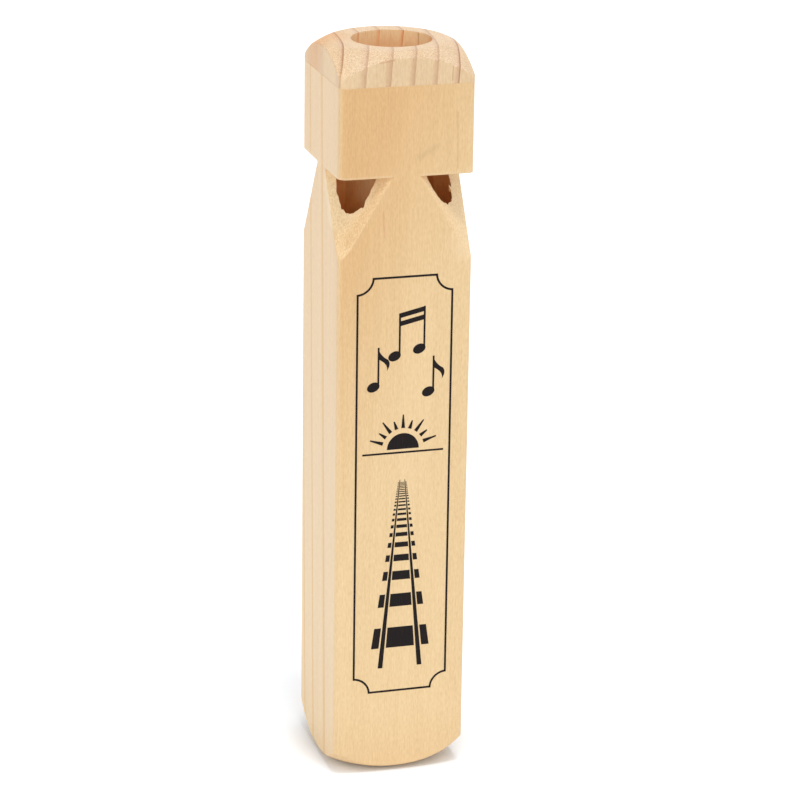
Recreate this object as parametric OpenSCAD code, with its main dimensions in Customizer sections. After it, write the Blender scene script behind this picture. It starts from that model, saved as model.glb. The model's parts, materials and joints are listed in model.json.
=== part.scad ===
// Four-note wooden train whistle, standing on its foot.
// A square block is bored with four stopped chambers of different lengths. A fipple plug
// in each chamber leaves a flat windway that blows across a window cut in the long edge.
// A domed cap, glued on the block, closes the wind chest and holds the mouth hole.
// The foot lies on Z = 0, the long axis runs along +Z and the front face looks along -Y.

/* [Block] */
// Width of the square block, across its flat faces
block_w = 35.5; // [32:0.5:40]
// Length of the block, from its foot to the glue seam under the cap
block_l = 187.5; // [170:0.5:220]
// Radius of the eased long edges
edge_r = 1; // [0.4:0.1:2]

/* [Rounded ends] */
// How far the cap's turned round-over comes down at a corner
cap_drop = 8.3; // [4:0.1:8.4]
// How far the foot's turned round-over goes up at a corner
foot_drop = 8.3; // [4:0.1:12]
// Angle at which the round-over leaves the flat middle of the end
end_angle = 2; // [1:1:12]

/* [Mouthpiece cap] */
// Thickness of the cap above the glue seam
cap_t = 8.5; // [8:0.5:16]
// Diameter of the mouth hole
mouth_d = 20.8; // [17:0.2:23]
// Chamfer on the mouth hole's rim
rim_chamfer = 0.5; // [0.2:0.1:1.2]
// Width of the flat land round the mouth hole, outside the chamfer
rim_land = 1.7; // [0.2:0.1:2]

/* [Wind chest] */
// Depth of the round recess under the cap that feeds the four chambers
chest_depth = 6; // [4:0.5:10]

/* [Chambers] */
// Diameter of each chamber's bore
chamber_d = 12.5; // [10:0.5:13]
// Wood left between a chamber and each of the two faces beside it
chamber_wall = 2.5; // [2:0.25:4]
// Sounding length of the front left chamber, below its window's ceiling
front_left_l = 126; // [60:1:130]
// Sounding length of the front right chamber
front_right_l = 110; // [60:1:130]
// Sounding length of the rear right chamber
rear_right_l = 96; // [60:1:130]
// Sounding length of the rear left chamber
rear_left_l = 85; // [60:1:130]
// Point angle of the drill that bored the chambers
drill_angle = 118; // [90:1:140]

/* [Windows] */
// Distance of the windows' flat ceiling below the glue seam
ceiling_drop = 23.5; // [18:0.5:32]
// Reach of a window's notch along each of the two faces that it cuts
notch_w = 14.2; // [12.6:0.2:15.6]
// Height of a notch on the long edge
notch_h = 23.5; // [14:0.5:34]

/* [Fipple plugs] */
// Height of the windway where it opens on the window
windway_out = 1.4; // [0.8:0.1:2.4]
// Height of the windway at the top of the plug
windway_in = 2.2; // [0.8:0.1:3.2]
// Glue gap between a plug and its bore
plug_gap = 0.05; // [0.02:0.01:0.2]
// Chamfer that leads the plug into its bore
plug_chamfer = 0.5; // [0.2:0.1:1]

/* [Hidden] */
$fn = 96;

// How far a cutter runs past the wood that it cuts
over = 2;

// The block's four long edges, as signs of X and Y
FRONT_LEFT = [-1, -1];
FRONT_RIGHT = [1, -1];
REAR_RIGHT = [1, 1];
REAR_LEFT = [-1, 1];
EDGES = [FRONT_LEFT, FRONT_RIGHT, REAR_RIGHT, REAR_LEFT];
SOUNDING_L = [front_left_l, front_right_l, rear_right_l, rear_left_l];

total_l = block_l + cap_t;
half_w = block_w / 2;
half_diagonal = half_w * sqrt(2);
mouth_r = mouth_d / 2;

// An end's round-over is one arc from the flat middle, left at end_angle, to the block's corner
end_flat_r = mouth_r + rim_chamfer + rim_land;
end_reach = half_diagonal - end_flat_r;
function corner_angle(drop) = 2 * atan(drop / end_reach) - end_angle;
function end_arc_r(drop) = end_reach / (sin(corner_angle(drop)) - sin(end_angle));

// Chamber axes, and the chest that reaches as far out as they do
chamber_r = chamber_d / 2;
chamber_axis = half_w - chamber_wall - chamber_r;
chest_r = chamber_axis * sqrt(2);
chest_floor_z = block_l - chest_depth;
drill_tip_h = chamber_r / tan(drill_angle / 2);

// Depths measured inward along the diagonal, from the sharp corner of the square
ceiling_z = block_l - ceiling_drop;
notch_depth = notch_w / sqrt(2);
chamber_near_depth = (half_w - chamber_axis) * sqrt(2) - chamber_r;

WOOD_BLOCK = "#efd0a0";
WOOD_CAP = "#f2d8b6";
WOOD_PLUG = "#d8b98a";

// Turns and moves a shape so that its X runs inward along the diagonal from a long edge
module at_edge(edge) {
    translate([edge.x * half_w, edge.y * half_w, 0])
        rotate(atan2(-edge.y, -edge.x))
            children();
}

// A slab across a long edge whose outline, in depth and height, is given by points
module across_edge(edge, points) {
    at_edge(edge)
        rotate([90, 0, 0])
            linear_extrude(block_w, center = true)
                polygon(points);
}

// Square stock with eased long edges
module stock(length) {
    straight_w = block_w - 2 * edge_r;
    linear_extrude(length)
        union() {
            square([block_w, straight_w], center = true);
            square([straight_w, block_w], center = true);
            for (edge = EDGES)
                translate(edge * straight_w / 2)
                    circle(r = edge_r);
        }
}

// The ring of wood turned off an end that lies at Z = 0 with the object below it
module end_waste(drop) {
    arc_r = end_arc_r(drop);
    rotate_extrude()
        difference() {
            translate([end_flat_r, -drop - over])
                square([end_reach + over, drop + 2 * over]);
            translate([end_flat_r - arc_r * sin(end_angle), -arc_r * cos(end_angle)])
                circle(r = arc_r);
        }
}

// Blind bore of one chamber, with its drill point, open at the top of the block
module chamber_bore(edge, sounding_l) {
    floor_z = ceiling_z - sounding_l;
    translate([edge.x * chamber_axis, edge.y * chamber_axis, floor_z]) {
        cylinder(h = block_l - floor_z + over, r = chamber_r);
        translate([0, 0, -drill_tip_h])
            cylinder(h = drill_tip_h, r1 = 0, r2 = chamber_r);
    }
}

// Wedge cut across a long edge: a flat ceiling, and a facet that slopes out to the edge below
module window_notch(edge) {
    slope = notch_h / notch_depth;
    across_edge(edge, [
        [-over, ceiling_z],
        [notch_depth, ceiling_z],
        [-over, ceiling_z - notch_h - over * slope]
    ]);
}

module body_block() {
    color(WOOD_BLOCK)
        difference() {
            stock(block_l);
            mirror([0, 0, 1])
                end_waste(foot_drop);
            translate([0, 0, chest_floor_z])
                cylinder(h = chest_depth + over, r = chest_r);
            for (i = [0 : len(EDGES) - 1]) {
                chamber_bore(EDGES[i], SOUNDING_L[i]);
                window_notch(EDGES[i]);
            }
        }
}

module mouthpiece_cap() {
    color(WOOD_CAP)
        difference() {
            translate([0, 0, block_l])
                stock(cap_t);
            translate([0, 0, total_l])
                end_waste(cap_drop);
            translate([0, 0, block_l - over])
                cylinder(h = cap_t + 2 * over, r = mouth_r);
            translate([0, 0, total_l - rim_chamfer])
                cylinder(h = rim_chamfer + over, r1 = mouth_r, r2 = mouth_r + rim_chamfer + over);
        }
}

// Dowel with one flat, which faces the long edge and leaves the windway beside the bore's wall
module fipple_plug(edge) {
    plug_r = chamber_r - plug_gap;
    plug_h = chest_floor_z - ceiling_z;
    taper = (windway_in - windway_out) / plug_h;
    color(WOOD_PLUG)
        difference() {
            translate([edge.x * chamber_axis, edge.y * chamber_axis, ceiling_z])
                rotate_extrude()
                    polygon([
                        [0, 0],
                        [plug_r, 0],
                        [plug_r, plug_h - plug_chamfer],
                        [plug_r - plug_chamfer, plug_h],
                        [0, plug_h]
                    ]);
            across_edge(edge, [
                [0, ceiling_z - over],
                [chamber_near_depth + windway_out - taper * over, ceiling_z - over],
                [chamber_near_depth + windway_in + taper * over, chest_floor_z + over],
                [0, chest_floor_z + over]
            ]);
        }
}

body_block();
mouthpiece_cap();
fipple_plug(FRONT_LEFT);  // fipple_plug_front_left
fipple_plug(FRONT_RIGHT);  // fipple_plug_front_right
fipple_plug(REAR_RIGHT);  // fipple_plug_rear_right
fipple_plug(REAR_LEFT);  // fipple_plug_rear_left
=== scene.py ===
import json
import math

import bmesh
import bpy
import numpy as np
from mathutils import Matrix, Vector


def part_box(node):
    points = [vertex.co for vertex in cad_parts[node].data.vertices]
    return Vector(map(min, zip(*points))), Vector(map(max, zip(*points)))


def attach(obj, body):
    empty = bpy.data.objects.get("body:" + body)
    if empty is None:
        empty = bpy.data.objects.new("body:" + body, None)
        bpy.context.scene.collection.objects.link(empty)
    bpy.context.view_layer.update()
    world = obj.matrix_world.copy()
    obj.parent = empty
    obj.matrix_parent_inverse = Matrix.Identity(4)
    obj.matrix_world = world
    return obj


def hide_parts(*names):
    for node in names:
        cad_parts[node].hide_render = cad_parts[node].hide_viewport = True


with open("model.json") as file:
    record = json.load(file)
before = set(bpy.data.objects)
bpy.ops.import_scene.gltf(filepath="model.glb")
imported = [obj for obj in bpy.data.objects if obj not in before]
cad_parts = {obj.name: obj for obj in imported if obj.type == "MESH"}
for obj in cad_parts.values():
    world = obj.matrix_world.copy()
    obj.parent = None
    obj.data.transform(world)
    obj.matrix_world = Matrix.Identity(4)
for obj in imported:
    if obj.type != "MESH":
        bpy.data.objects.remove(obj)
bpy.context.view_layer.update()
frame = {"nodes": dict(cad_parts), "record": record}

# Lengths are in metres, as the frame is, and written in millimetres times MM.
MM = 0.001
rng = np.random.default_rng(7)

# Sizes read from the frame
BLOCK_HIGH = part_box("body_block")[1]
PLUG_LOW, PLUG_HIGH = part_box("fipple_plug_front_left")
HALF_W = BLOCK_HIGH.x
SEAM_Z = BLOCK_HIGH.z
TOP_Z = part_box("mouthpiece_cap")[1].z
CEILING_Z = PLUG_LOW.z
CHEST_FLOOR_Z = PLUG_HIGH.z
MOUNTS = {mount["name"]: mount for mount in frame["record"]["mounts"]}
MOUTH_R = MOUNTS["mouth_bore"]["dims"]["r_mm"] * MM

# Sizes that the solids share
NOTCH_W = 14.2 * MM
NOTCH_H = 23.5 * MM
CHAMBER_R = 6.25 * MM
CHAMBER_AXIS = 9.0 * MM
CHEST_R = CHAMBER_AXIS * math.sqrt(2)
DRILL_ANGLE = math.radians(118)

# The block's long edges, counter-clockwise from the front left one: the signs of X and Y, the eased
# radius, and the middle and sounding length of the chamber beside each. The front two bores ran off.
FRONT_LEFT, FRONT_RIGHT, REAR_LEFT = 0, 1, 3
CORNER_SIGNS = [(-1, -1), (1, -1), (1, 1), (-1, 1)]
EDGE_R = np.array([2.0, 1.0, 1.0, 1.0]) * MM
BORE_CENTRES = np.array([(-9.5, -8.9), (7.7, -10.0), (9.0, 9.0), (-9.0, 9.0)]) * MM
SOUNDING_L = [126 * MM, 110 * MM, 96 * MM, 85 * MM]

# Turned ends: the radius of the flat middle, that of the shoulder, where the flat and the last slope
# would meet, and how far the round-over drops at the block's corner
CAP_END = dict(flat=14.5 * MM, shoulder=17.4 * MM, drop=6.75 * MM)
FOOT_END = dict(flat=9.9 * MM, shoulder=19.4 * MM, drop=8.85 * MM)

# Where the tools that turned the ends and bored the mouth ran off the middle
CAP_CENTRE = np.array([-0.24, 0.07]) * MM
MOUTH_CENTRE = np.array([0.6, -0.2]) * MM
FOOT_CENTRE = np.array([-0.7, -0.8]) * MM

# Softened edges that only the looks have
RIM_ROUND = 0.22 * MM
CREASE_ROUND = 0.35 * MM
NOTCH_ROUND = 0.3 * MM
LIP_ROUND = 0.28 * MM
SEAM_CHAMFER = 0.06 * MM
# The lip's softened edge takes up at most this share of the ceiling
LIP_MOST = 0.45
# Wear on the cap's rear left corner: how much more its crease is rounded, and how far from the corner
WORN_ROUND = 1.1 * MM
WORN_REACH = 9.0 * MM
# Reach of a notch, in radii of its long edge, from which its facet shows and at which it has taken over
FACET_STARTS = 0.5
FACET_FULL = 1.6

# Sampling round the block
SIDE_STEPS = 12
ROUND_STEPS = 5
FACET_STEPS = 18
CORNER_STEPS = 2 * ROUND_STEPS + FACET_STEPS
# Sampling of a turned end. A power below 1 crowds its rings toward the rim.
DOME_STEPS = 12
DOME_POWER = 0.85
# Sampling up the block: its shaft, its notches, their ceiling and the head above it
SHAFT_STEP = 3.0 * MM
NOTCH_ROWS = 44
CEILING_ROWS = 5
HEAD_START = 1.5 * MM
HEAD_ROWS = 12
# One more ring on the flat of the foot and on the block's top, as shares of the way out
FOOT_RING = 0.5
TOP_RING = 0.9
# Sampling of the bores
MOUTH_ROWS = 6
ROUND_CUTTER_STEPS = 128
CHAMBER_STEPS = 240
CHAMBER_ROWS = 12
TORN_ROW = 0.25 * MM


def srgb(red, green, blue):
    """Linear colour of an 8-bit display colour."""
    def linear(value):
        share = value / 255
        return share / 12.92 if share <= 0.04045 else ((share + 0.055) / 1.055) ** 2.4
    return (linear(red), linear(green), linear(blue), 1.0)


def smoothstep(low, high, value):
    """Smooth rise from 0 at low to 1 at high."""
    share = np.clip((value - low) / (high - low), 0, 1)
    return share * share * (3 - 2 * share)


def bezier(start, middle, end, steps):
    """Points of a quadratic curve, both ends included."""
    t = np.linspace(0, 1, steps)[:, None]
    start, middle, end = (np.asarray(point, float) for point in (start, middle, end))
    return (1 - t) ** 2 * start + 2 * t * (1 - t) * middle + t ** 2 * end


# Meshes

def loft(name, rows, wrap=False, first=None, last=None):
    """Mesh over closed rings of points.

    It joins the last ring to the first, or closes each end on a point.
    """
    rows = [np.asarray(row, float) for row in rows]
    count = len(rows[0])
    points = np.concatenate(rows).tolist()
    pairs = len(rows) if wrap else len(rows) - 1
    faces = []
    for i in range(pairs):
        low = i * count
        high = (i + 1) % len(rows) * count
        for j in range(count):
            k = (j + 1) % count
            faces.append((low + j, low + k, high + k, high + j))
    if first is not None:
        points.append(list(first))
        faces += [(len(points) - 1, (j + 1) % count, j) for j in range(count)]
    if last is not None:
        points.append(list(last))
        base = (len(rows) - 1) * count
        faces += [(len(points) - 1, base + j, base + (j + 1) % count) for j in range(count)]
    return make_object(name, points, faces)


def make_object(name, points, faces):
    """Adds a mesh of these points and faces to the scene."""
    mesh = bpy.data.meshes.new(name)
    mesh.from_pydata(points, [], faces)
    tidy_mesh(mesh)
    piece = bpy.data.objects.new(name, mesh)
    bpy.context.scene.collection.objects.link(piece)
    return piece


def tidy_mesh(mesh, merge=0.002 * MM):
    """Merges points that coincide and turns all faces outward."""
    work = bmesh.new()
    work.from_mesh(mesh)
    bmesh.ops.remove_doubles(work, verts=work.verts, dist=merge)
    bmesh.ops.dissolve_degenerate(work, edges=work.edges, dist=merge)
    bmesh.ops.recalc_face_normals(work, faces=work.faces)
    work.to_mesh(mesh)
    work.free()


def boolean(target, tools, operation="DIFFERENCE"):
    """Applies a boolean of each tool to the target, then deletes the tools."""
    for tool in tools:
        modifier = target.modifiers.new("boolean", "BOOLEAN")
        modifier.operation = operation
        modifier.solver = "MANIFOLD"
        modifier.object = tool
    apply_modifiers(target)
    for tool in tools:
        bpy.data.objects.remove(tool)


def apply_modifiers(target):
    """Gives the target the mesh that its modifiers make of it, and removes them."""
    bpy.context.view_layer.update()
    depsgraph = bpy.context.evaluated_depsgraph_get()
    mesh = bpy.data.meshes.new_from_object(target.evaluated_get(depsgraph), depsgraph=depsgraph)
    old = target.data
    target.modifiers.clear()
    target.data = mesh
    mesh.name = target.name
    bpy.data.meshes.remove(old)


def shade(piece, angle=32):
    """Smooth shading that keeps creases, with flat faces left flat."""
    piece.data.shade_smooth()
    piece.data.set_sharp_from_angle(angle=math.radians(angle))
    weighted = piece.modifiers.new("weighted_normals", "WEIGHTED_NORMAL")
    weighted.keep_sharp = True


# Outline of the block in plan

def corner_arc(radius, steps=CORNER_STEPS):
    """Eased corner, as distances along the front face and along the left face."""
    turn = np.linspace(0, math.pi / 2, steps)
    return radius * np.stack([1 - np.cos(turn), 1 - np.sin(turn)], -1)


def corner_facet(reach):
    """Corner cut off by a notch's facet, with its two edges softened."""
    soft = NOTCH_ROUND
    slant = soft / math.sqrt(2)
    enter = bezier((0, reach + soft), (0, reach), (slant, reach - slant), ROUND_STEPS + 1)
    leave = bezier((reach - slant, slant), (reach, 0), (reach + soft, 0), ROUND_STEPS + 1)
    straight = np.linspace(enter[-1], leave[0], FACET_STEPS)
    return np.concatenate([enter[:-1], straight, leave[1:]])


def corner_below_lip(radius):
    """Whole eased corner, sampled from where a notch starts on one face to where it ends on the other."""
    start = NOTCH_W + NOTCH_ROUND
    spare = ROUND_STEPS + FACET_STEPS // 4
    face = np.linspace(start, radius, spare, endpoint=False)
    arc = corner_arc(radius, CORNER_STEPS - 2 * spare)
    zero = np.zeros(spare)
    return np.concatenate([np.stack([zero, face], -1), arc, np.stack([face[::-1], zero], -1)])


def corner_at(z, radius):
    """Corner of the block at a height below the windows' ceiling: an arc that turns into the facet."""
    reach = NOTCH_W * (1 - (CEILING_Z - z) / NOTCH_H)
    if reach <= FACET_STARTS * radius:
        return corner_arc(radius)
    share = smoothstep(FACET_STARTS * radius, FACET_FULL * radius, reach)
    return (1 - share) * corner_arc(radius) + share * corner_facet(reach)


def outline(corner_of):
    """Closed outline of the block, counter-clockwise from the middle of the left face.

    A corner's points come from its edge's radius, as those of the front left corner, and are turned
    into place by a cosine and a sine.
    """
    quarter_turns = [(1, 0), (0, 1), (-1, 0), (0, -1)]
    quarters = []
    for radius, (c, s) in zip(EDGE_R, quarter_turns):
        corner = corner_of(radius)
        side = np.linspace(HALF_W, corner[0, 1], SIDE_STEPS, endpoint=False)
        front = np.linspace(corner[-1, 0], HALF_W, SIDE_STEPS, endpoint=False)[1:]
        along = np.concatenate([
            np.stack([np.zeros(len(side)), side], -1),
            corner,
            np.stack([front, np.zeros(len(front))], -1),
        ])
        quarters.append((along - HALF_W) @ np.array([(c, s), (-s, c)]))
    return np.concatenate(quarters)


def at_height(plan, z):
    return np.column_stack([plan, np.broadcast_to(z, len(plan))])


# Turned ends

def end_depth(radius, flat, shoulder, drop):
    """Depth of an end's round-over at a distance from its axis.

    Its curve leaves the flat without a crease and steepens outward.
    """
    start = shoulder - flat
    bend = HALF_W * math.sqrt(2) - shoulder - start
    out = np.maximum(radius - flat, 0)
    return drop * ((np.sqrt(start ** 2 + bend * out) - start) / bend) ** 2


def end_rows(plan, centre, end, crease=CREASE_ROUND):
    """Rings of an end turned about a centre, from its flat middle out, as (plan, depth below the end).

    The crease between the end and the sides is rounded by one radius or by one for each point of the plan.
    """
    outward = plan - centre
    radius = np.linalg.norm(outward, axis=1)
    unit = outward / radius[:, None]
    inner = radius - crease
    rows = []
    for share in np.linspace(0, 1, DOME_STEPS) ** DOME_POWER:
        at = end["flat"] + share * (inner - end["flat"])
        rows.append((centre + unit * at[:, None], end_depth(at, **end)))
    edge = end_depth(radius, **end)
    for t in np.linspace(0, 1, ROUND_STEPS)[1:]:
        at = (1 - t) ** 2 * inner + (1 - (1 - t) ** 2) * radius
        depth = ((1 - t) ** 2 * end_depth(inner, **end) + 2 * t * (1 - t) * edge
                 + t ** 2 * (edge + crease))
        rows.append((centre + unit * at[:, None], depth))
    return rows


# The block

def whole_block():
    """The block before it is bored: turned foot, four notches and a chamfered seam edge."""
    plain = outline(corner_arc)
    foot = end_rows(plain, FOOT_CENTRE, FOOT_END)
    rows = [at_height(FOOT_CENTRE + FOOT_RING * (foot[0][0] - FOOT_CENTRE), 0)]
    rows += [at_height(plan, depth) for plan, depth in foot]
    shaft_low = FOOT_END["drop"] + 2 * SHAFT_STEP
    notch_low = CEILING_Z - NOTCH_H
    shaft_rows = round((notch_low - shaft_low) / SHAFT_STEP)
    rows += [at_height(plain, z) for z in np.linspace(shaft_low, notch_low, shaft_rows)]
    for z in np.linspace(notch_low, CEILING_Z, NOTCH_ROWS)[1:]:
        rows.append(at_height(outline(lambda radius: corner_at(z, radius)), z))
    facet = outline(lambda radius: corner_at(CEILING_Z, radius))
    lip = outline(corner_below_lip)
    gap = np.linalg.norm(facet - lip, axis=1)
    soft = np.minimum(LIP_ROUND, LIP_MOST * gap)
    inner = lip + (facet - lip) * np.divide(soft, gap, out=np.zeros_like(gap), where=gap > 0)[:, None]
    for share in np.linspace(0, 1, CEILING_ROWS)[1:]:
        rows.append(at_height(facet + (inner - facet) * share, CEILING_Z))
    for t in np.linspace(0, 1, ROUND_STEPS)[1:]:
        plan = inner + (lip - inner) * (1 - (1 - t) ** 2)
        rows.append(at_height(plan, CEILING_Z + soft * t ** 2))
    for z in np.linspace(CEILING_Z + HEAD_START, SEAM_Z - SEAM_CHAMFER, HEAD_ROWS):
        rows.append(at_height(lip, z))
    rows.append(at_height(lip * (1 - SEAM_CHAMFER / HALF_W), SEAM_Z))
    rows.append(at_height(lip * TOP_RING, SEAM_Z))
    return loft("whistle_body", rows, first=(*FOOT_CENTRE, 0), last=(0, 0, SEAM_Z))


# The block's bores, and the torn feather edges of its windows

# Ragged edge: size of its broken steps and of its single fibres, and how deep each goes
BREAK_W, BREAK_DEPTH = 1.8 * MM, 0.10 * MM
FIBRE_W, FIBRE_DEPTH = 0.5 * MM, 0.07 * MM
# Broken steps and splinters to be seen, by window: angle round the bore, half width in degrees and depth
BROKEN = {
    FRONT_LEFT: [(35, 4.5, 0.3 * MM), (-22, 5, 0.16 * MM)],
    FRONT_RIGHT: [(37, 2.5, -0.6 * MM), (46, 7, 0.15 * MM), (24, 9, 0.18 * MM)],
}
# How steeply the sides of such a step rise
STEP_SLOPE = 1.6
# Cosines of the angle from the long edge between which the tearing sets in
TORN_FACING = (0.2, 0.5)
# How far below the ceiling the fine rows for the torn edge start
TORN_DROP = 14 * MM
# Distances below the edge at which a broken step or a splinter starts and is full. What broke away leaves
# a tall step, and a splinter stands out only at the edge.
STEP_FADE = (2.6 * MM, 1.4 * MM)
SPLINTER_FADE = (0.9 * MM, 0.4 * MM)
# How far a cutter runs past the wood that it cuts, and a plug's bore into the chamber below it
CUT_OVER = 1.0 * MM
BORE_OVERLAP = 0.3 * MM


def ragged(turn, width, depth):
    """Random depths in steps of a width round a chamber."""
    count = int(2 * math.pi * CHAMBER_R / width)
    steps = np.linspace(-math.pi, math.pi, count)
    return np.interp(turn, steps, rng.normal(0, depth, count), period=2 * math.pi)


def torn_edge(turn, broken):
    """Extra radius round a chamber, from its long edge, where the window's feather edge broke away."""
    extra = ragged(turn, BREAK_W, BREAK_DEPTH) + ragged(turn, FIBRE_W, FIBRE_DEPTH)
    for angle, half_width, depth in broken:
        away = np.abs(np.degrees(turn) - angle) / half_width
        extra = extra + depth * np.clip(STEP_SLOPE - STEP_SLOPE * away, 0, 1)
    return extra * smoothstep(*TORN_FACING, np.cos(turn))


def bore_ring(centre, radius, turn, z):
    return at_height(centre + np.stack([radius * np.cos(turn), radius * np.sin(turn)], -1), z)


def lined(cutter):
    """Gives what a cutter leaves the target's second material."""
    for face in cutter.data.polygons:
        face.material_index = 1
    return cutter


def chamber_cutter(index):
    """Sounding bore below a window, with its drill point and the torn edge where the window cuts it."""
    signs, centre = np.array(CORNER_SIGNS[index]), BORE_CENTRES[index]
    floor_z = CEILING_Z - SOUNDING_L[index]
    facing = math.atan2(signs[1], signs[0])
    turn = np.linspace(-math.pi, math.pi, CHAMBER_STEPS, endpoint=False)
    wall = bore_ring(centre, CHAMBER_R, turn + facing, 0)[:, :2]
    reach = ((signs * HALF_W - wall) * signs).sum(axis=1)
    arch_z = CEILING_Z - NOTCH_H * (1 - reach / NOTCH_W)
    extra = torn_edge(turn, BROKEN.get(index, []))
    heights = np.concatenate([
        np.linspace(floor_z, CEILING_Z - TORN_DROP, CHAMBER_ROWS, endpoint=False),
        np.arange(CEILING_Z - TORN_DROP, CEILING_Z - TORN_ROW / 2, TORN_ROW),
        [CEILING_Z],
    ])
    starts, full = (np.where(extra > 0, *fades) for fades in zip(STEP_FADE, SPLINTER_FADE))
    rows = []
    for z in heights:
        radius = CHAMBER_R + extra * smoothstep(-starts, -full, z - arch_z)
        rows.append(bore_ring(centre, radius, turn + facing, z))
    tip = (*centre, floor_z - CHAMBER_R / math.tan(DRILL_ANGLE / 2))
    return lined(loft("chamber_cutter", rows, first=tip, last=(*centre, CEILING_Z)))


def round_cutter(centre, radius, low, high):
    """Plain upright bore."""
    turn = np.linspace(0, 2 * math.pi, ROUND_CUTTER_STEPS, endpoint=False)
    rows = [bore_ring(centre, radius, turn, z) for z in (low, high)]
    return lined(loft("round_cutter", rows, first=(*centre, low), last=(*centre, high)))


def build_body(outside, inside):
    """The block, bored from the top for its wind chest and plugs, with a chamber under each plug."""
    body = whole_block()
    body.data.materials.append(outside)
    body.data.materials.append(inside)
    cutters = [round_cutter(np.zeros(2), CHEST_R, CHEST_FLOOR_Z, SEAM_Z + CUT_OVER)]
    for index, signs in enumerate(CORNER_SIGNS):
        axis = np.array(signs) * CHAMBER_AXIS
        cutters.append(round_cutter(axis, CHAMBER_R, CEILING_Z - BORE_OVERLAP, SEAM_Z + CUT_OVER))
        cutters.append(chamber_cutter(index))
    boolean(body, cutters)
    shade(body)
    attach(body, "root")
    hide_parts("body_block")


# The cap

def build_cap(outside, inside):
    """The cap: one closed skin up its sides, over its dome and down its mouth hole."""
    plan = outline(corner_arc)
    from_corner = np.linalg.norm(plan - HALF_W * np.array(CORNER_SIGNS[REAR_LEFT]), axis=1)
    worn = CREASE_ROUND + WORN_ROUND * smoothstep(WORN_REACH, 0, from_corner)
    dome = end_rows(plan, CAP_CENTRE, CAP_END, worn)
    rows = [at_height(plan * (1 - SEAM_CHAMFER / HALF_W), SEAM_Z),
            at_height(plan, SEAM_Z + SEAM_CHAMFER)]
    rows += [at_height(at, TOP_Z - depth) for at, depth in reversed(dome)]
    land = dome[0][0]
    bore = MOUTH_CENTRE + (land - CAP_CENTRE) * (MOUTH_R / CAP_END["flat"])
    land_w = np.linalg.norm(land - bore, axis=1).clip(RIM_ROUND)
    rim = bore + (land - bore) * (RIM_ROUND / land_w)[:, None]
    for t in np.linspace(0, 1, ROUND_STEPS):
        rows.append(at_height(rim + (bore - rim) * (1 - (1 - t) ** 2), TOP_Z - RIM_ROUND * t ** 2))
    rows += [at_height(bore, z) for z in np.linspace(TOP_Z - RIM_ROUND, SEAM_Z, MOUTH_ROWS)[1:]]
    cap = loft("whistle_cap", rows, wrap=True)
    cap.data.materials.append(outside)
    cap.data.materials.append(inside)
    for face in cap.data.polygons:
        middle = np.array(face.center)
        in_bore = np.linalg.norm(middle[:2] - MOUTH_CENTRE) < MOUTH_R + RIM_ROUND / 2
        face.material_index = int(in_bore and middle[2] < TOP_Z - RIM_ROUND / 2)
    shade(cap)
    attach(cap, "root")
    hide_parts("mouthpiece_cap")


# The print on the front face: flat plates of ink, drawn in millimetres of X and Z

# How far a plate stands proud of the face, and how deep it reaches into the wood
INK_PROUD, INK_SUNK = 0.03, 0.05
# Ticket-shaped border line
BORDER_HALF_W, BORDER_LOW, BORDER_HIGH = 12.9, 23.0, 138.0
BORDER_BITE, BITE_STEPS, BORDER_LINE = 4.2, 14, 0.55
# Railway track that runs to the horizon
TRACK_FOOT_Z, HORIZON_Z = 30.0, 90.0
HALF_GAUGE, RAIL_W, HALF_SLEEPER, RAIL_GAP = 5.4, 1.3, 8.8, 0.45
# Its sleepers: the first one, the step and the thickness are in units of the near end's distance
SLEEPERS, SLEEPER_STEP, SLEEPER_T = 22, 0.3, 0.13
FIRST_SLEEPER = 0.35 * SLEEPER_STEP
# Rising sun on the horizon, with long and short rays by turns, wide at the foot and narrow at the end
SUN_R, SUN_RISE, SUN_STEPS = 4.3, 1.2, 40
RAYS, RAY_START, RAY_ENDS = 9, 5.7, (9.4, 8.0)
RAY_FOOT_HALF_W, RAY_END_HALF_W = 0.5, 0.16
HORIZON_LINE, HORIZON_MARGIN = 0.5, 1.4
# Notes: half length and half height of the leaning head, the stem, whose right side stands at a share of
# the half length and which starts above the head's middle, and the beams' drops from the stem's top
NOTE_HEAD, NOTE_STEPS = (1.75, 1.25), 32
NOTE_LEAN = math.radians(24)
STEM_W, STEM_START, STEM_SHARE = 0.5, 0.3, 0.9
BEAM_T, BEAM_DROPS = 1.3, (0, 2.2)
# A flag's curves, each with its start, middle, end and number of points. The places are distances right
# of the stem's right side and down from its top.
FLAG = [
    ((-STEM_W, 0), (0.4, 2.4), (2.3, 3.4), 8),
    ((2.3, 3.4), (3.3, 4.6), (2.0, 6.4), 8),
    ((2.0, 6.4), (2.6, 4.6), (-STEM_W, 3.0), 10),
]
# Where the notes stand, by the middle of the first head
LEFT_NOTE = dict(x=-8.2, z=108.6, height=10.6)
PAIR = dict(x=-2.6, z=116.6, step=6.6, rise=1.6, height=11.4)
RIGHT_NOTE = dict(x=6.6, z=106.4, height=9.6)


def plate(outline_mm):
    """Flat plate of ink with a closed outline."""
    flat = np.asarray(outline_mm, float)
    front, rear = -HALF_W / MM - INK_PROUD, -HALF_W / MM + INK_SUNK
    points = [(x * MM, y * MM, z * MM) for y in (front, rear) for x, z in flat]
    count = len(flat)
    faces = [tuple(range(count)), tuple(reversed(range(count, 2 * count)))]
    faces += [(i, i + count, (i + 1) % count + count, (i + 1) % count) for i in range(count)]
    return make_object("ink", points, faces)


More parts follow.
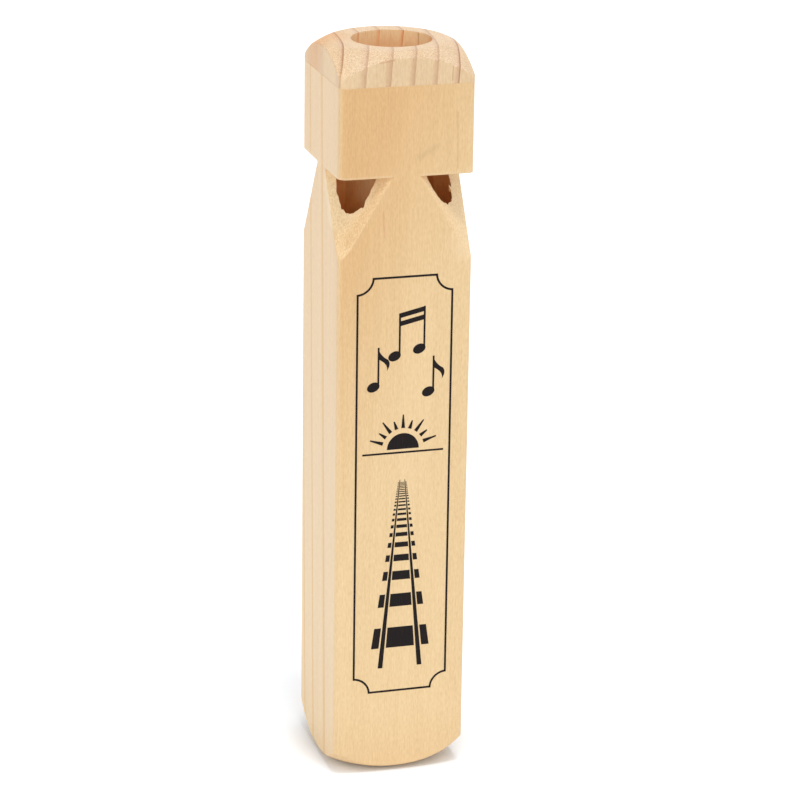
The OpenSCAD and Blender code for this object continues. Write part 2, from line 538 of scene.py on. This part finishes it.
def ticket(inset):
    """Outline of a ticket whose corners are bitten off by quarter circles, drawn in by an inset."""
    bite = BORDER_BITE + inset
    start = math.asin(inset / bite)
    points = []
    corners = [(BORDER_HALF_W, BORDER_LOW, 180), (BORDER_HALF_W, BORDER_HIGH, 270),
               (-BORDER_HALF_W, BORDER_HIGH, 0), (-BORDER_HALF_W, BORDER_LOW, 90)]
    for x, z, first in corners:
        for turn in math.radians(first) - np.linspace(start, math.pi / 2 - start, BITE_STEPS):
            points.append((x + bite * math.cos(turn), z + bite * math.sin(turn)))
    return points


def border():
    """Line round the print: a ticket with a smaller one cut out of it."""
    line = plate(ticket(0))
    hole = plate(ticket(BORDER_LINE))
    # Twice as thick about the face, the cutter passes both sides of the line
    hole.scale.y = 2
    hole.location.y = HALF_W
    boolean(line, [hole])
    return [line]


def track():
    """Two rails and their sleepers, which shrink as 1 over their distance."""
    depth = HORIZON_Z - TRACK_FOOT_Z

    def at(side, distance):
        return (side / distance, HORIZON_Z - depth / distance)

    plates = []
    far = 1 + SLEEPER_STEP * (SLEEPERS + 2)
    for side in (-HALF_GAUGE, HALF_GAUGE):
        inner, outer = side - RAIL_W / 2, side + RAIL_W / 2
        plates.append(plate([at(inner, 1), at(outer, 1), at(outer, far), at(inner, far)]))
    near_rail = HALF_GAUGE - RAIL_W / 2 - RAIL_GAP
    past_rail = HALF_GAUGE + RAIL_W / 2 + RAIL_GAP
    spans = [(-HALF_SLEEPER, -past_rail), (-near_rail, near_rail), (past_rail, HALF_SLEEPER)]
    for i in range(SLEEPERS):
        near = 1 + FIRST_SLEEPER + SLEEPER_STEP * i
        back = near + SLEEPER_T
        for start, end in spans:
            plates.append(plate([at(start, near), at(end, near), at(end, back), at(start, back)]))
    return plates


def sun():
    """Half disc above a horizon line, with rays that taper outward."""
    rise = HORIZON_Z + SUN_RISE
    turns = np.linspace(0, math.pi, SUN_STEPS)
    plates = [plate([(SUN_R * math.cos(turn), rise + SUN_R * math.sin(turn)) for turn in turns])]
    half_line = BORDER_HALF_W - BORDER_LINE - HORIZON_MARGIN
    line_top = HORIZON_Z + HORIZON_LINE
    plates.append(plate([(-half_line, HORIZON_Z), (half_line, HORIZON_Z),
                         (half_line, line_top), (-half_line, line_top)]))
    for i, turn in enumerate(np.linspace(0, math.pi, RAYS + 2)[1:-1]):
        along = np.array([math.cos(turn), math.sin(turn)])
        aside = np.array([-along[1], along[0]])
        foot, end = along * RAY_START, along * RAY_ENDS[i % 2]
        foot_side, end_side = RAY_FOOT_HALF_W * aside, RAY_END_HALF_W * aside
        ray = [foot - foot_side, end - end_side, end + end_side, foot + foot_side]
        plates.append(plate([(x, rise + z) for x, z in ray]))
    return plates


def note_head(x, z):
    """Leaning oval of a note, and the X of the right side of its stem."""
    wide, tall = NOTE_HEAD
    along, across = math.cos(NOTE_LEAN), math.sin(NOTE_LEAN)
    points = []
    for turn in np.linspace(0, 2 * math.pi, NOTE_STEPS, endpoint=False):
        u, v = wide * math.cos(turn), tall * math.sin(turn)
        points.append((x + u * along - v * across, z + u * across + v * along))
    return plate(points), x + wide * STEM_SHARE


def stem(x, z, height):
    """Stem of a note whose head has its middle at a height Z."""
    low, high = z + STEM_START, z + height
    return plate([(x - STEM_W, low), (x, low), (x, high), (x - STEM_W, high)])


def single_note(x, z, height):
    """Note with one flag that falls from the top of its stem."""
    head, side = note_head(x, z)
    top = z + height
    fall, curl, back = (
        bezier(*[(side + right, top - down) for right, down in places], steps) for *places, steps in FLAG
    )
    flag = plate(np.concatenate([fall, curl[1:], back[1:]]))
    boolean(head, [stem(side, z, height), flag], "UNION")
    return head


def paired_notes(x, z, step, rise, height):
    """Two notes whose stems are joined by two slanting beams."""
    left, left_side = note_head(x, z)
    right, right_side = note_head(x + step, z + rise)
    parts = [right, stem(left_side, z, height), stem(right_side, z + rise, height)]
    start = left_side - STEM_W
    for drop in BEAM_DROPS:
        low, high = z + height - drop, z + rise + height - drop
        parts.append(plate([(start, low - BEAM_T), (right_side, high - BEAM_T),
                            (right_side, high), (start, low)]))
    boolean(left, parts, "UNION")
    return left


def build_print(material):
    """All the ink, joined to one piece."""
    pieces = border() + track() + sun()
    pieces += [single_note(**LEFT_NOTE), paired_notes(**PAIR), single_note(**RIGHT_NOTE)]
    ink_print = pieces[0]
    with bpy.context.temp_override(active_object=ink_print, selected_editable_objects=pieces):
        bpy.ops.object.join()
    ink_print.name = "front_print"
    ink_print.data.name = "front_print"
    ink_print.data.materials.clear()
    ink_print.data.materials.append(material)
    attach(ink_print, "root")


# Materials

class Shader:
    """A material's nodes, with one short call for each kind that is used here."""

    def __init__(self, name):
        self.material = bpy.data.materials.new(name)
        self.material.use_nodes = True
        self.tree = self.material.node_tree
        self.surface = self.tree.nodes["Principled BSDF"]

    def put(self, socket, value):
        if isinstance(value, bpy.types.NodeSocket):
            self.tree.links.new(value, socket)
        else:
            socket.default_value = value

    def node(self, kind, *inputs, **settings):
        made = self.tree.nodes.new(kind)
        for key, value in settings.items():
            setattr(made, key, value)
        for socket, value in zip(made.inputs, inputs):
            if value is not None:
                self.put(socket, value)
        return made

    def math(self, operation, *values):
        return self.node("ShaderNodeMath", *values, operation=operation).outputs[0]

    def vector(self, operation, *values):
        made = self.node("ShaderNodeVectorMath", *values, operation=operation)
        return made.outputs["Value" if operation in ("DISTANCE", "DOT_PRODUCT") else "Vector"]

    def place(self):
        """Position in the object's frame, in millimetres."""
        here = self.node("ShaderNodeTexCoord").outputs["Object"]
        return self.vector("MULTIPLY", here, (1 / MM, 1 / MM, 1 / MM))

    def part(self, vector, axis):
        return self.node("ShaderNodeSeparateXYZ", vector).outputs[axis]

    def noise(self, place, per_mm, detail, shift=(0, 0, 0)):
        """Noise of about 0 to 1, with a number of grains to the millimetre along each axis."""
        made = self.node("ShaderNodeTexNoise")
        self.put(made.inputs["Vector"], self.vector("MULTIPLY_ADD", place, per_mm, shift))
        made.inputs["Scale"].default_value = 1.0
        made.inputs["Detail"].default_value = detail
        return made.outputs["Fac"]

    def ramp(self, value, low, high, start=0.0, end=1.0):
        made = self.node("ShaderNodeMapRange", value, low, high, start, end)
        made.interpolation_type = "SMOOTHSTEP"
        return made.outputs["Result"]

    def spread(self, value, low, high):
        """Stretches 0 to 1 to another range."""
        return self.node("ShaderNodeMapRange", value, 0.0, 1.0, low, high, clamp=False).outputs["Result"]

    def mix(self, share, one, two):
        made = self.node("ShaderNodeMix", data_type="RGBA")
        self.put(made.inputs["Factor"], share)
        colours = [socket for socket in made.inputs if socket.type == "RGBA"]
        self.put(colours[0], one)
        self.put(colours[1], two)
        return [socket for socket in made.outputs if socket.type == "RGBA"][0]

    def scaled(self, vector, factor):
        made = self.node("ShaderNodeVectorMath", operation="SCALE")
        self.put(made.inputs[0], vector)
        self.put(made.inputs["Scale"], factor)
        return made.outputs["Vector"]

    def bump(self, height, strength, distance):
        made = self.node("ShaderNodeBump")
        made.inputs["Strength"].default_value = strength
        made.inputs["Distance"].default_value = distance
        self.put(made.inputs["Height"], height)
        self.put(self.surface.inputs["Normal"], made.outputs["Normal"])


# Grain of the wood: grains to the millimetre along each axis, and the detail of the noise
GRAIN = dict(
    wander=((0.06, 0.06, 0.008), 2.0),
    broad=((0.2, 0.2, 0.006), 2.0),
    streak=((1.1, 1.1, 0.025), 3.0),
    fibre=((3.4, 3.4, 0.11), 2.0),
    short=((2.6, 2.6, 0.7), 1.0),
    speckle=((3.6, 3.6, 1.8), 1.0),
    fleck=((2.7, 2.7, 0.11), 1.0),
)
# How strongly the grain darkens the wood, and how much of that each colour channel takes
GRAIN_STRENGTH = dict(broad=0.22, streak=0.12, fibre=0.24, short=0.45)
GRAIN_TINT = (0.45, 0.65, 1.0)
FLECK_SPAN = (0.64, 0.78)
# Spans of a growth ring, as shares of its width: the rise of the line at its edge, and its end
EDGE_RISE = (0.84, 0.955)
RING_END = (0.965, 1.0)
# Dark line at the edge of one ring in so many: where it is full and ends, and its strength
DARK_EVERY = 5
DARK_FULL, DARK_END = 0.97, (0.985, 1.0)
DARK_SHARE = 0.8
# Upright part of the normal over which a face turns into one that cuts across the fibres, and how much
# stronger the edge lines are there
CUT_FACING = (0.15, 0.4)
CUT_LINE = 1.5
# Gloss of the lacquer, along the fibres and where they are cut across
SPECULAR = (0.5, 0.12)
COAT = (0.42, 0.0)
COAT_ROUGHNESS = 0.35
# Roughness between and on the fibres, height of a streak beside a fibre's, and their relief
ROUGHNESS = (0.36, 0.52)
STREAK_HEIGHT = 0.6
RELIEF = dict(strength=0.2, distance=0.05 * MM)


def ring_turn(shader, place, pith, first, slope, bend, lean, lean_from, drift, wander):
    """Share of the way from one growth ring to the next, and the ring's number.

    Rings lie round the pith, which leans with the height. Their number rises with the distance past the
    first ring by slope to the millimetre, less a bend that widens them outward. A noise lets them wander
    by a drift.
    """
    rise = shader.math("SUBTRACT", shader.part(place, "Z"), lean_from)
    upright = shader.vector("SUBTRACT", place, shader.scaled(lean + (0,), rise))
    radius = shader.vector("DISTANCE", shader.vector("MULTIPLY", upright, (1, 1, 0)), pith + (0,))
    past = shader.math("MULTIPLY_ADD", wander, drift, shader.math("SUBTRACT", radius, first + drift / 2))
    count = shader.math("MULTIPLY", past, shader.math("MULTIPLY_ADD", past, -bend, slope))
    return shader.math("FRACT", count), shader.math("FLOOR", count)


# Gold tint: its rise to the millimetre, toward the top left, the span over which it grows, the facing over
# which a face counts as the front, and its share on the other faces
GOLD_RISE = (-0.029, 0, 0.0105)
GOLD_SPAN = (1.08, 2.08)
FRONT_FACING = (0.6, 0.95)
GOLD_ELSEWHERE = 0.3


def gilded(shader, place, colour, gold):
    """Tints the block gold toward its top left, most on the printed face."""
    rise = shader.vector("DOT_PRODUCT", place, GOLD_RISE)
    share = shader.node("ShaderNodeMapRange", rise, *GOLD_SPAN, 0.0, 1.0).outputs["Result"]
    normal = shader.node("ShaderNodeTexCoord").outputs["Normal"]
    facing = shader.vector("DOT_PRODUCT", normal, (0, -1, 0))
    front = shader.ramp(facing, *FRONT_FACING, GOLD_ELSEWHERE, 1.0)
    return shader.mix(shader.math("MULTIPLY", share, front), colour, gold)


# Pale wood round a window: the distances outside its bore over which it fades, in millimetres, and share
FRAY_SPAN, FRAY_SHARE = (0.15, 0.9), 0.6
# Painted highlight along a window's lip, where its rounded edge would catch light, in millimetres: its
# height above the ceiling, the distances from it over which it fades, how far from the notch's end it sets
# in, and its share
LIP_HIGHLIGHT_Z, LIP_HIGHLIGHT_SPAN, LIP_HIGHLIGHT_ENDS = 0.3, (0.15, 0.45), 0.6
LIP_HIGHLIGHT_SHARE = 0.3


def fray_and_lip_highlight(shader, place, colour, pale):
    """Pales the thin wood round each window's edge, where its fibres are torn, and paints a highlight
    along the lip above it, where its rounded edge would catch light.
    """
    flat = shader.vector("MULTIPLY", place, (1, 1, 0))
    nearest = None
    for x, y in BORE_CENTRES / MM:
        away = shader.vector("DISTANCE", flat, (x, y, 0))
        nearest = away if nearest is None else shader.math("MINIMUM", nearest, away)
    outside = shader.math("SUBTRACT", nearest, CHAMBER_R / MM)
    colour = shader.mix(shader.ramp(outside, *FRAY_SPAN, FRAY_SHARE, 0.0), colour, pale)
    # Painted highlight: a pale line along the lip above each window, standing for light caught by its
    # rounded edge
    above = shader.math("SUBTRACT", shader.part(place, "Z"), CEILING_Z / MM)
    from_highlight = shader.math("ABSOLUTE", shader.math("SUBTRACT", above, LIP_HIGHLIGHT_Z))
    lip = shader.ramp(from_highlight, *LIP_HIGHLIGHT_SPAN, LIP_HIGHLIGHT_SHARE, 0.0)
    sideways = shader.math("ABSOLUTE", shader.part(place, "X"))
    inward = shader.math("ABSOLUTE", shader.part(place, "Y"))
    notch_end = (HALF_W - NOTCH_W) / MM
    beside = shader.ramp(shader.math("MINIMUM", sideways, inward), notch_end, notch_end + LIP_HIGHLIGHT_ENDS)
    return shader.mix(shader.math("MULTIPLY", lip, beside), colour, pale)


def stain_and_painted_shading(shader, place, colour, start, end, width, tint, share):
    """A soft mark from one place to another, for stains in the wood and for painted light and shade."""
    along = np.subtract(end, start)
    from_start = shader.vector("SUBTRACT", place, start)
    way = shader.vector("DOT_PRODUCT", from_start, tuple(along / (along @ along)))
    foot = shader.scaled(tuple(along), shader.node("ShaderNodeClamp", way).outputs["Result"])
    away = shader.vector("DISTANCE", from_start, foot)
    return shader.mix(shader.ramp(away, 0.0, width, share, 0.0), colour, tint)


def wood(name, rings, band, early, late, line, line_share, cut, cut_share, shift, speck=1.1, flecks=0.2,
         gold=None, lacquer=1.0, dark_ring=None, dark_from=0.9, marks=()):
    """Softwood with its fibres along Z, and a paler, speckled face where the fibres are cut across.

    In each ring the early wood turns late over the band and ends in a line. The number dark_ring of every
    DARK_EVERY rings also ends in a thin dark line, which starts at the share dark_from of the ring. A gold
    tint is for the block, which is frayed round its windows too and has a painted highlight along their
    lips.
    """
    shader = Shader(name)
    place = shader.place()
    grain = {kind: shader.noise(place, *noise, shift) for kind, noise in GRAIN.items()}
    facing = shader.part(shader.node("ShaderNodeTexCoord").outputs["Normal"], "Z")
    across = shader.ramp(shader.math("ABSOLUTE", facing), *CUT_FACING)
    turn, number = ring_turn(shader, place, wander=grain["wander"], **rings)
    ends = shader.ramp(turn, *RING_END, 1.0, 0.0)
    late_share = shader.math("MULTIPLY", shader.ramp(turn, *band), ends)
    edge = shader.math("MULTIPLY", shader.ramp(turn, *EDGE_RISE, 0.0, line_share), ends)

    # Colour
    colour = shader.mix(late_share, early, late)
    if gold:
        colour = gilded(shader, place, colour, gold)
    colour = shader.mix(shader.math("MULTIPLY", across, cut_share), colour, cut)
    colour = shader.mix(shader.math("MULTIPLY", edge, shader.spread(across, 1.0, CUT_LINE)), colour, line)
    if dark_ring is not None:
        dark = shader.math("COMPARE", shader.math("FLOORED_MODULO", number, DARK_EVERY), dark_ring, 0.5)
        dark_starts = shader.ramp(turn, dark_from, DARK_FULL, 0.0, DARK_SHARE)
        thin = shader.math("MULTIPLY", dark_starts, shader.ramp(turn, *DARK_END, 1.0, 0.0))
        colour = shader.mix(shader.math("MULTIPLY", dark, thin), colour, line)
    fleck = shader.ramp(grain["fleck"], *FLECK_SPAN)
    colour = shader.mix(shader.spread(fleck, 0.0, flecks), colour, line)
    # Stains, and painted light and shade, given as marks
    for mark in marks:
        colour = stain_and_painted_shading(shader, place, colour, *mark)
    if gold:
        # Pale, frayed wood round the windows, and a painted highlight along their lips
        colour = fray_and_lip_highlight(shader, place, colour, cut)

    # Grain, which darkens or brightens the colour about its middle, with specks on a face cut across
    speckle = shader.math("SUBTRACT", grain["speckle"], 0.5)
    tone = shader.math("MULTIPLY", speckle, shader.math("MULTIPLY", across, speck))
    for kind, strength in GRAIN_STRENGTH.items():
        tone = shader.math("MULTIPLY_ADD", grain[kind], strength, tone)
    tone = shader.math("SUBTRACT", tone, sum(GRAIN_STRENGTH.values()) / 2)
    tone = shader.vector("MULTIPLY_ADD", tone, GRAIN_TINT, (1, 1, 1))

    # Gloss and relief
    inputs = shader.surface.inputs
    shader.put(inputs["Base Color"], shader.vector("MULTIPLY", colour, tone))
    shader.put(inputs["Roughness"], shader.spread(grain["fibre"], *ROUGHNESS))
    for socket, levels in (("Specular IOR Level", SPECULAR), ("Coat Weight", COAT)):
        shader.put(inputs[socket], shader.spread(across, *(level * lacquer for level in levels)))
    inputs["Coat Roughness"].default_value = COAT_ROUGHNESS
    height = shader.math("MULTIPLY_ADD", grain["streak"], STREAK_HEIGHT, grain["fibre"])
    shader.bump(shader.math("MULTIPLY_ADD", across, grain["speckle"], height), **RELIEF)
    return shader.material


# Ink: colour where it is full and thin, grain and detail of its thin places and the span over which they
# set in, their share of the thin colour, roughness where it is full and thin, gloss and relief
INK_FULL, INK_THIN = srgb(24, 17, 17), srgb(66, 46, 36)
INK_GRAIN, THIN_SPAN = ((3.5, 3.5, 0.2), 3.0), (0.52, 0.78)
THIN_SHARE = 0.35
INK_ROUGHNESS = (0.5, 0.68)
INK_SPECULAR = 0.15
INK_RELIEF = dict(strength=0.15, distance=0.03 * MM)


def ink():
    """Dull black printing ink, a little thin where it lies on the wood's fibres."""
    shader = Shader("print_ink")
    thin = shader.ramp(shader.noise(shader.place(), *INK_GRAIN), *THIN_SPAN)
    inputs = shader.surface.inputs
    shader.put(inputs["Base Color"], shader.mix(shader.spread(thin, 0.0, THIN_SHARE), INK_FULL, INK_THIN))
    shader.put(inputs["Roughness"], shader.spread(thin, *INK_ROUGHNESS))
    inputs["Specular IOR Level"].default_value = INK_SPECULAR
    shader.bump(thin, **INK_RELIEF)
    return shader.material


def seen_or_mirrored(tree):
    """1 for the rays that the camera, a gloss or a glass sends, 0 for the rays that carry light."""
    rays = tree.nodes.new("ShaderNodeLightPath").outputs
    seen = rays["Is Camera Ray"]
    for kind in ("Is Glossy Ray", "Is Transmission Ray"):
        either = tree.nodes.new("ShaderNodeMath")
        either.operation = "MAXIMUM"
        tree.links.new(seen, either.inputs[0])
        tree.links.new(rays[kind], either.inputs[1])
        seen = either.outputs[0]
    return seen


# Stage, light and camera

WHITE = (1, 1, 1, 1)
# Floor: half its size in metres, its colour and its finish
FLOOR_HALF = 6.0
FLOOR_COLOUR = (0.90, 0.935, 0.985, 1)
FLOOR_ROUGHNESS, FLOOR_SPECULAR = 0.9, 0.1
# Lift of the floor: its centre, the distances over which it rises, in millimetres, and its strength there
LIFT_CENTRE = (2.0, 3.0, 0.0)
LIFT_REACH = (18.0, 30.0)
LIFT = (0.03, 0.3)
# Level of the light from all round, and each lamp's azimuth, elevation, level and spread, in degrees
WORLD_LIGHT = 0.36
LAMPS = dict(
    left=(-65, 25, 0.25, 60),
    right=(40, 50, 0.28, 80),
    rear=(165, 30, 0.10, 60),
    top=(5, 75, 0.29, 14),
)


def floor_material():
    """White floor, lifted to full white away from the object where it is seen, which leaves the shadow."""
    shader = Shader("studio_floor")
    inputs = shader.surface.inputs
    inputs["Base Color"].default_value = FLOOR_COLOUR
    inputs["Roughness"].default_value = FLOOR_ROUGHNESS
    inputs["Specular IOR Level"].default_value = FLOOR_SPECULAR
    inputs["Emission Color"].default_value = WHITE
    away = shader.vector("DISTANCE", shader.place(), LIFT_CENTRE)
    lift = shader.math("MULTIPLY", seen_or_mirrored(shader.tree), shader.ramp(away, *LIFT_REACH, *LIFT))
    shader.put(inputs["Emission Strength"], lift)
    return shader.material


def build_stage():
    """Square floor under the object."""
    corners = [(FLOOR_HALF * x, FLOOR_HALF * y, 0) for x, y in CORNER_SIGNS]
    floor = make_object("floor", corners, [(0, 1, 2, 3)])
    floor.data.materials.append(floor_material())


def build_world(light):
    """White all round, dimmed to a level of light for the rays that carry it."""
    world = bpy.data.worlds.new("studio")
    world.use_nodes = True
    bpy.context.scene.world = world
    tree = world.node_tree
    background = tree.nodes["Background"]
    background.inputs["Color"].default_value = WHITE
    strength = tree.nodes.new("ShaderNodeMapRange")
    strength.inputs["To Min"].default_value = light
    strength.inputs["To Max"].default_value = 1.0
    tree.links.new(seen_or_mirrored(tree), strength.inputs["Value"])
    tree.links.new(strength.outputs["Result"], background.inputs["Strength"])


def soft_sun(name, azimuth, elevation, level, spread):
    """Broad, even lamp far away, in front at azimuth 0.

    Level 1 lights a white face that is square to it to white.
    """
    az, el = math.radians(azimuth), math.radians(elevation)
    away = Vector((math.sin(az) * math.cos(el), -math.cos(az) * math.cos(el), math.sin(el)))
    light = bpy.data.lights.new(name, "SUN")
    light.energy = math.pi * level
    light.angle = math.radians(spread)
    lamp = bpy.data.objects.new(name, light)
    lamp.rotation_euler = away.to_track_quat("Z", "Y").to_euler()
    bpy.context.scene.collection.objects.link(lamp)


def build_camera():
    """Camera of the photograph, found from the block's edges in its 800 pixel frame."""
    azimuth, elevation, roll = math.radians(-16.358), math.radians(18.436), math.radians(0.764)
    distance, target_z = 877.25 * MM, 98.67 * MM
    focal_px, frame_px = 3324.4, 800
    centre_px = (384.23, 400.5)
    back = Vector((math.sin(azimuth) * math.cos(elevation), -math.cos(azimuth) * math.cos(elevation),
                   math.sin(elevation)))
    right = Vector((math.cos(azimuth), math.sin(azimuth), 0))
    up = back.cross(right)
    right, up = (math.cos(roll) * right + math.sin(roll) * up,
                 math.cos(roll) * up - math.sin(roll) * right)
    data = bpy.data.cameras.new("camera")
    data.sensor_width = 36
    data.lens = focal_px / frame_px * data.sensor_width
    data.shift_x = (frame_px / 2 - centre_px[0]) / frame_px
    data.shift_y = (centre_px[1] - frame_px / 2) / frame_px
    data.clip_start = 0.01
    data.clip_end = 50
    camera = bpy.data.objects.new("camera", data)
    turn = Matrix((right, up, back)).transposed().to_4x4()
    camera.matrix_world = Matrix.Translation(Vector((0, 0, target_z)) + back * distance) @ turn
    bpy.context.scene.collection.objects.link(camera)
    bpy.context.scene.camera = camera


bpy.context.scene.view_settings.view_transform = "Standard"
build_camera()
build_stage()
build_world(WORLD_LIGHT)
for lamp_name, lamp in LAMPS.items():
    soft_sun(lamp_name, *lamp)

# Soft marks on the wood, in millimetres: where they start and end, how wide they are, their colour and how
# strong it is.
# Some are stains and lines in the wood, and some are painted light or painted shade, as noted. The front
# face lies at the Y, and the left face at the X, that FACE gives.
FACE = -HALF_W / MM
BLOCK_STAINS_LIGHT_AND_SHADE = [
    ((3.2, FACE, 168.8), (7.7, FACE, 171.5), 1.8, srgb(196, 160, 108), 0.25),
    ((13.2, FACE, 180.0), (13.4, FACE, 165.5), 0.35, srgb(196, 132, 80), 0.28),
    ((-6.1, FACE, 155.0), (-5.7, FACE, 148.5), 0.4, srgb(214, 140, 104), 0.35),
    # Painted shade: darkens the foot toward the floor, most at the front, as the floor's contact shadow
    # would
    ((-18.0, FACE, -2.0), (18.0, FACE, -2.0), 22.0, srgb(232, 192, 138), 0.6),
    # Painted light: lightens the upper part of the right window's facet, which the cap's overhang shades
    ((15.5, -12.5, 158.0), (16.6, -16.6, 145.0), 7.0, srgb(255, 226, 182), 0.5),
    # Painted light: lightens the left end of the left window's facet under the ceiling, which the overhang
    # shades
    ((-17.2, -6.5, 160.5), (-17.0, -11.0, 152.5), 5.0, srgb(255, 226, 178), 0.65),
    # Painted shade: darkens the front end of the left window's facet under the ceiling, as the overhang
    # would shade it
    ((-6.5, -17.0, 161.0), (-15.0, -16.4, 147.5), 3.2, srgb(233, 194, 143), 0.8),
]
CAP_MARKS = [
    ((FACE, 6.4, 195.4), (FACE, 7.6, 188.6), 13.0, srgb(227, 165, 98), 0.7),
    ((-7.4, FACE, 193.6), (-3.7, FACE, 194.3), 0.4, srgb(196, 116, 78), 0.35),
    ((11.75, FACE, 192.0), (11.6, FACE, 188.4), 0.35, srgb(190, 128, 70), 0.45),
    ((FACE, FACE, 192.5), (FACE, FACE, 187.6), 3.0, srgb(238, 206, 166), 0.65),
    ((FACE, -6.0, 191.5), (FACE, -14.0, 188.5), 7.0, srgb(244, 206, 150), 0.4),
]
BORE_MARKS = [
    ((-5.5, 8.4, 191.3), (1.5, 10.2, 191.3), 4.5, srgb(244, 194, 144), 0.5),
    ((1.5, 10.2, 191.3), (8.5, 6.8, 191.3), 4.5, srgb(244, 194, 144), 0.5),
    ((9.43, 5.29, 196.0), (9.43, 5.29, 188.0), 0.4, srgb(190, 120, 76), 0.5),
]
CHAMBER_PAINTED_LIGHT = [
    # Painted light on the far wall of the front left chamber, seen through its window, where light falls
    # in
    ((-9.0, -3.0, 164.0), (-7.0, -4.0, 154.0), 9.0, srgb(255, 203, 140), 0.55),
    ((-5.8, -3.8, 160.0), (-7.0, -3.2, 155.5), 4.0, srgb(255, 212, 155), 0.8),
    ((-10.5, -2.7, 153.5), (-10.5, -2.7, 150.5), 4.0, srgb(255, 190, 112), 0.55),
    # Lightens the wind chest under the mouth hole, taking back most of the chambers' painted shade there
    ((0.0, 0.0, 192.0), (0.0, 0.0, 184.0), 20.0, srgb(240, 204, 154), 0.85),
]

# Each piece's growth rings and wood. Its bores are of the same wood: the chambers' is a darker, warmer
# copy of the block's, painted shade inside them, and the mouth's bore a brighter copy of the cap's,
# painted light inside it.
BLOCK_RINGS = dict(
    pith=(10, 150), first=145.6, slope=0.1042, bend=0.00155,
    lean=(0, 0.038), lean_from=100.0, drift=0.6,
)
BLOCK_WOOD = dict(
    rings=BLOCK_RINGS, band=(0.76, 0.93), shift=(3, 7, 1),
    early=srgb(244, 209, 155), late=srgb(239, 193, 108), line=srgb(220, 165, 84), line_share=0.3,
    cut=srgb(250, 217, 172), cut_share=0.6, speck=0.8,
)
# Painted shade: the block's wood made darker and warmer for the inside of the chambers
SHADED_CHAMBER_WOOD = BLOCK_WOOD | dict(
    early=srgb(243, 174, 108), late=srgb(230, 155, 90), line=srgb(168, 100, 50), cut_share=0.0,
)
CAP_RINGS = dict(
    pith=(-87.6, 10.2), first=75.4, slope=0.1545, bend=-0.0005,
    lean=(0.073, 0.019), lean_from=190.0, drift=0.5,
)
CAP_WOOD = dict(
    rings=CAP_RINGS, band=(0.66, 0.86), shift=(11, 2, 5),
    early=srgb(237, 205, 161), late=srgb(225, 186, 145), line=srgb(178, 122, 92), line_share=0.24,
    cut=srgb(233, 206, 178), cut_share=0.5, speck=1.4,
)
# Painted light: the cap's wood made brighter and warmer for the inside of the mouth's bore
LIT_BORE_WOOD = CAP_WOOD | dict(
    early=srgb(255, 222, 175), late=srgb(255, 199, 146), line=srgb(214, 134, 86), band=(0.8, 0.95),
)
PLUG_RINGS = dict(
    pith=(30, -40), first=0.0, slope=1 / 2.4, bend=0,
    lean=(0, 0), lean_from=0.0, drift=0.6,
)
PLUG_WOOD = dict(
    rings=PLUG_RINGS, band=(0.5, 0.95), shift=(1, 9, 4),
    early=srgb(226, 190, 140), late=srgb(206, 164, 112), line=srgb(170, 120, 76), line_share=0.4,
    cut=srgb(220, 186, 140), cut_share=0.3,
)
block_wood = wood("block_wood", gold=srgb(231, 184, 124), marks=BLOCK_STAINS_LIGHT_AND_SHADE, **BLOCK_WOOD)
shaded_chamber_wood = wood("shaded_chamber_wood", lacquer=0.15, flecks=0.6, marks=CHAMBER_PAINTED_LIGHT, **SHADED_CHAMBER_WOOD)
cap_wood = wood("cap_wood", lacquer=0.55, dark_ring=4, marks=CAP_MARKS, **CAP_WOOD)
lit_bore_wood = wood(
    "lit_bore_wood", lacquer=0.3, flecks=0.4, dark_ring=2, dark_from=0.94, marks=BORE_MARKS, **LIT_BORE_WOOD,
)
plug_wood = wood("plug_wood", **PLUG_WOOD)

build_body(block_wood, shaded_chamber_wood)
build_cap(cap_wood, lit_bore_wood)
build_print(ink())
for name, node in frame["nodes"].items():
    if name.startswith("fipple_plug"):
        node.data.materials.clear()
        node.data.materials.append(plug_wood)
